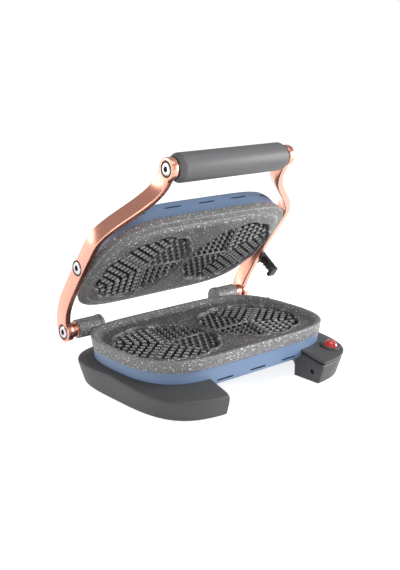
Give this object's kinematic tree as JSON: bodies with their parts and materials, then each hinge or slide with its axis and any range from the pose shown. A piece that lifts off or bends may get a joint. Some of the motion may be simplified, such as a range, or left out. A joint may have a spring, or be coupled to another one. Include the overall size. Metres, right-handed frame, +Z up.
{
  "type": "double waffle maker",
  "caption": "Hinged electric waffle maker with two stone-coated heart-pattern plates in oval shells, curved strap arms and a round front handle.",
  "frame": {"origin": "centre of the footprint of the whole part in its open pose, on the ground", "axes": "+X to the right along the hinge, +Y to the back, where the hinge is, +Z up"},
  "size_m": [0.3192, 0.2444, 0.2768],
  "materials": {
    "stone_coating": "matt speckled non-stick coating on cast aluminium",
    "blue_paint": "satin paint",
    "element_steel": "oxidised heating tube",
    "bare_aluminium": "bare sheet",
    "ceramic": "glazed ceramic",
    "grey_plastic": "fine spark texture",
    "pad_rubber": "matt",
    "red_lens": "faceted translucent lens",
    "black_plastic": "satin",
    "grip_grey": "soft-touch",
    "rose_metal": "satin rose-copper anodising",
    "screw_steel": "turned and polished"
  },
  "bodies": {
    "base": {"lower_plate": "stone_coating", "lower_housing": "blue_paint", "lower_heating_element": "element_steel", "lower_reflector": "bare_aluminium", "thermal_fuse": "bare_aluminium", "lower_thermostat": "ceramic", "terminal_block": "ceramic", "left_foot": "grey_plastic", "right_foot": "grey_plastic", "right_foot_cover": "grey_plastic", "rubber_pad_front_left": "pad_rubber", "rubber_pad_front_right": "pad_rubber", "rubber_pad_back_left": "pad_rubber", "rubber_pad_back_right": "pad_rubber", "lamp_lens": "red_lens", "lamp_holder": "black_plastic", "cord_gland": "black_plastic"},
    "arms": {"arm_left": "rose_metal", "hinge_screw_left": "screw_steel", "hinge_bush_left": "black_plastic", "hinge_boss_left": "rose_metal", "lid_pivot_screw_left": "screw_steel", "lid_pivot_bush_left": "black_plastic", "lid_pivot_spacer_left": "black_plastic", "handle_screw_left": "screw_steel", "handle_bush_left": "black_plastic", "grip_ring_left": "black_plastic", "arm_right": "rose_metal", "hinge_screw_right": "screw_steel", "hinge_bush_right": "black_plastic", "hinge_boss_right": "rose_metal", "lid_pivot_screw_right": "screw_steel", "lid_pivot_bush_right": "black_plastic", "lid_pivot_spacer_right": "black_plastic", "handle_screw_right": "screw_steel", "handle_bush_right": "black_plastic", "grip_ring_right": "black_plastic", "handle_rod": "screw_steel", "handle_grip": "grip_grey", "latch_screw": "screw_steel"},
    "lid": {"upper_plate": "stone_coating", "upper_housing": "blue_paint", "upper_heating_element": "element_steel", "upper_reflector": "bare_aluminium", "upper_thermostat": "ceramic"},
    "latch": {"latch_lever": "black_plastic"}
  },
  "joints": [
    {"name": "arm_swing", "type": "hinge", "parent": "base", "child": "arms", "pos_m": [-0.0083, 0.0963, 0.058], "axis": [-1, 0, 0], "range_deg": [-54.93, 12]},
    {"name": "lid_tilt", "type": "hinge", "parent": "arms", "child": "lid", "pos_m": [-0.0083, 0.05254, 0.14537], "axis": [-1, 0, 0], "range_deg": [-3, 11]},
    {"name": "latch_swing", "type": "hinge", "parent": "arms", "child": "latch", "pos_m": [0.1423, 0.07843, 0.10767], "axis": [1, 0, 0], "range_deg": [0, 30]}
  ],
  "couplings": [
    {"joint": "lid_tilt", "follows": "arm_swing", "ratio": -0.18442}
  ]
}
